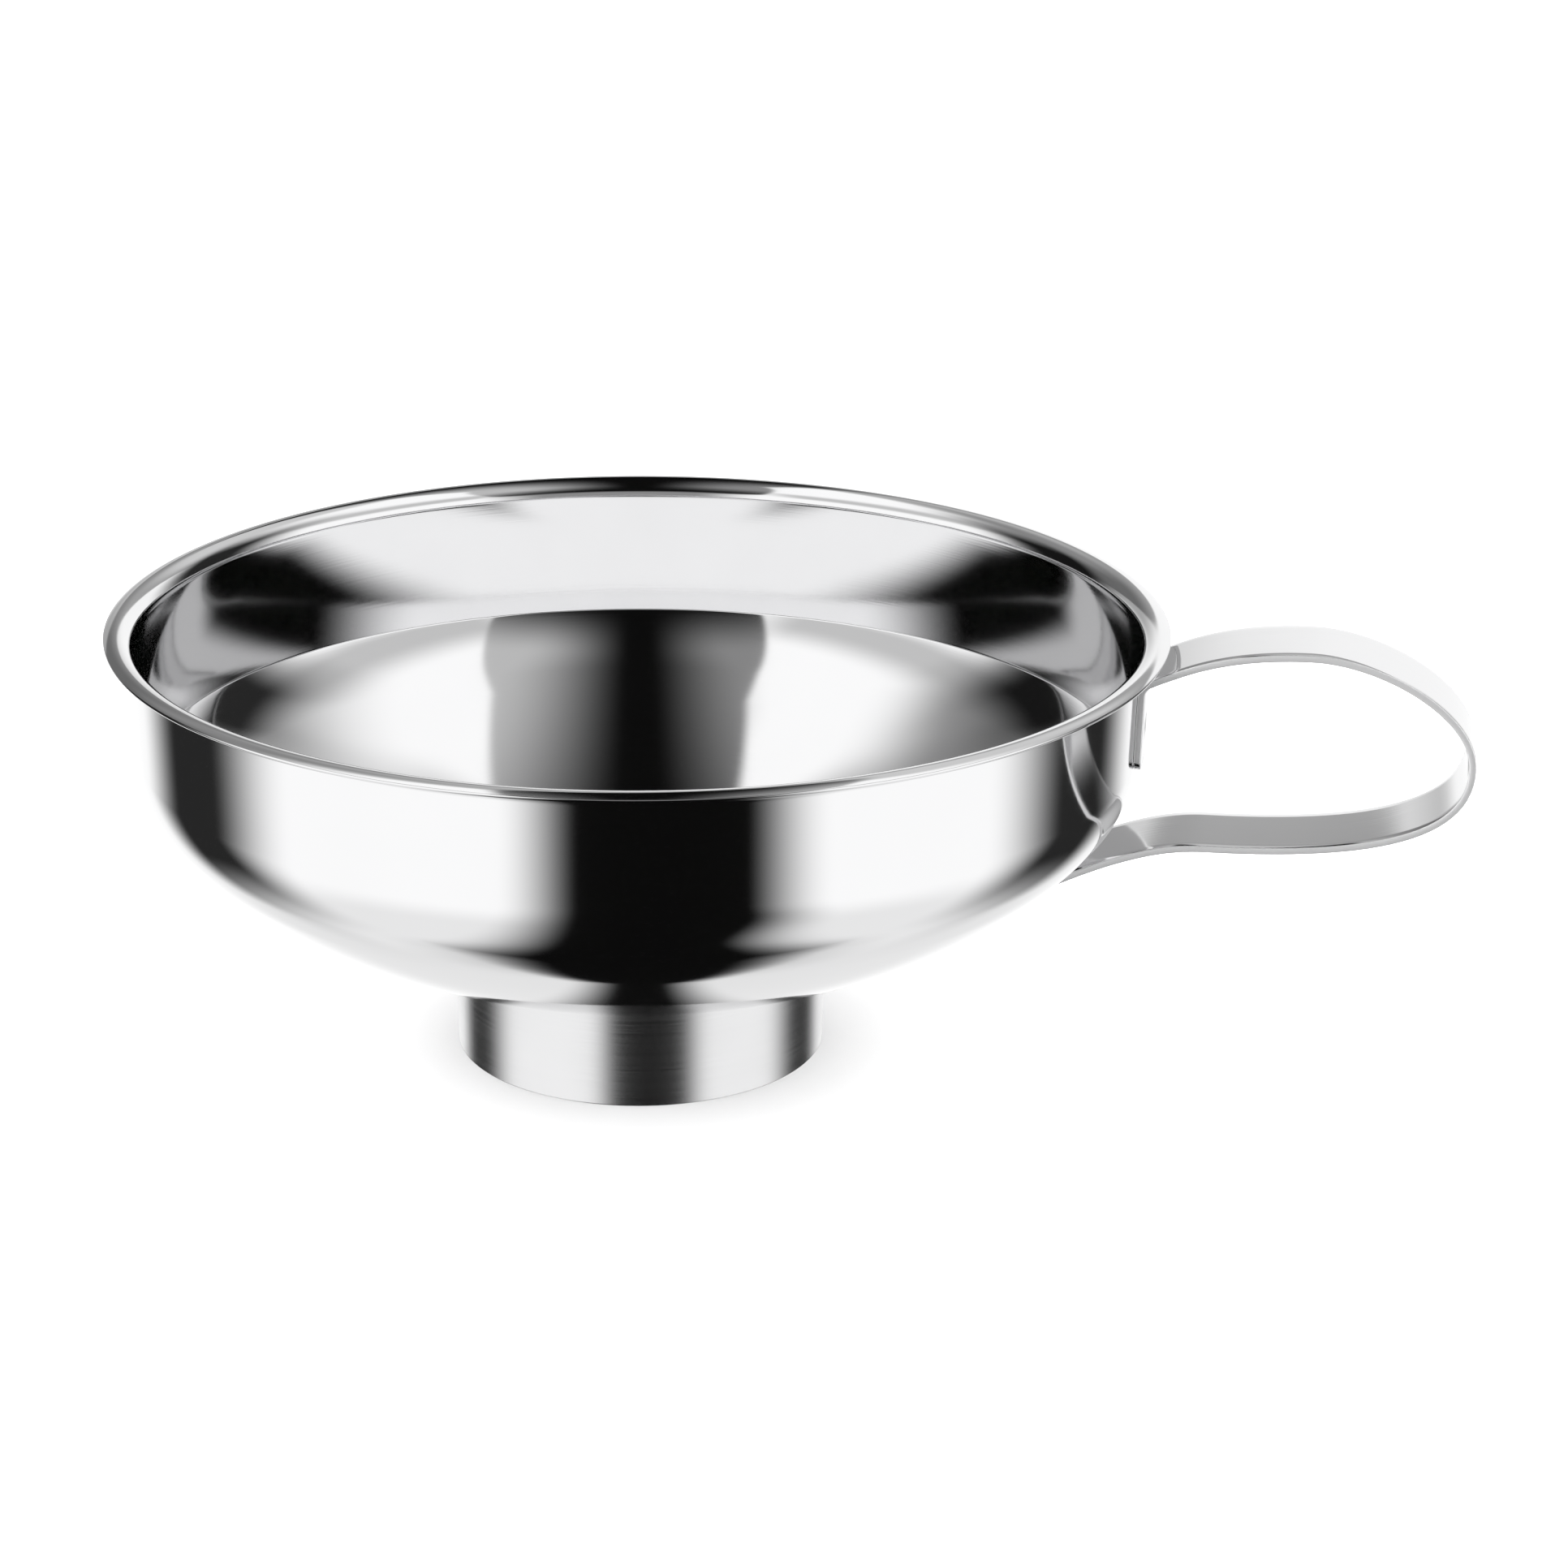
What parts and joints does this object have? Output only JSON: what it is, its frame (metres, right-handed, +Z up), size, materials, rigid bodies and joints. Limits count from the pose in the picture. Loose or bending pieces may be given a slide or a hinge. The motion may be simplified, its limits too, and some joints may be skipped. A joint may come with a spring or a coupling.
{
  "type": "canning funnel",
  "caption": "Wide-mouth canning funnel of polished stainless steel, with a flared lip, a shallow dished bowl, a short straight spout and a bent strip loop handle.",
  "frame": {"origin": "on the funnel's axis, in the plane of the spout's lower end, where the spout opens into the jar", "axes": "+Z up along the funnel's axis, +X towards the handle, +Y to the left of the handle seen from above with the handle pointing away"},
  "size_m": [0.1926, 0.15, 0.065],
  "materials": {
    "bowl_steel": "stainless steel sheet, mirror-polished inside and out",
    "spout_steel": "stainless steel tube, polished, a little softer than the bowl",
    "handle_steel": "stainless steel strip, satin-polished faces and plain cut edges"
  },
  "bodies": {
    "root": {"bowl": "bowl_steel", "spout": "spout_steel", "handle": "handle_steel"}
  },
  "joints": []
}
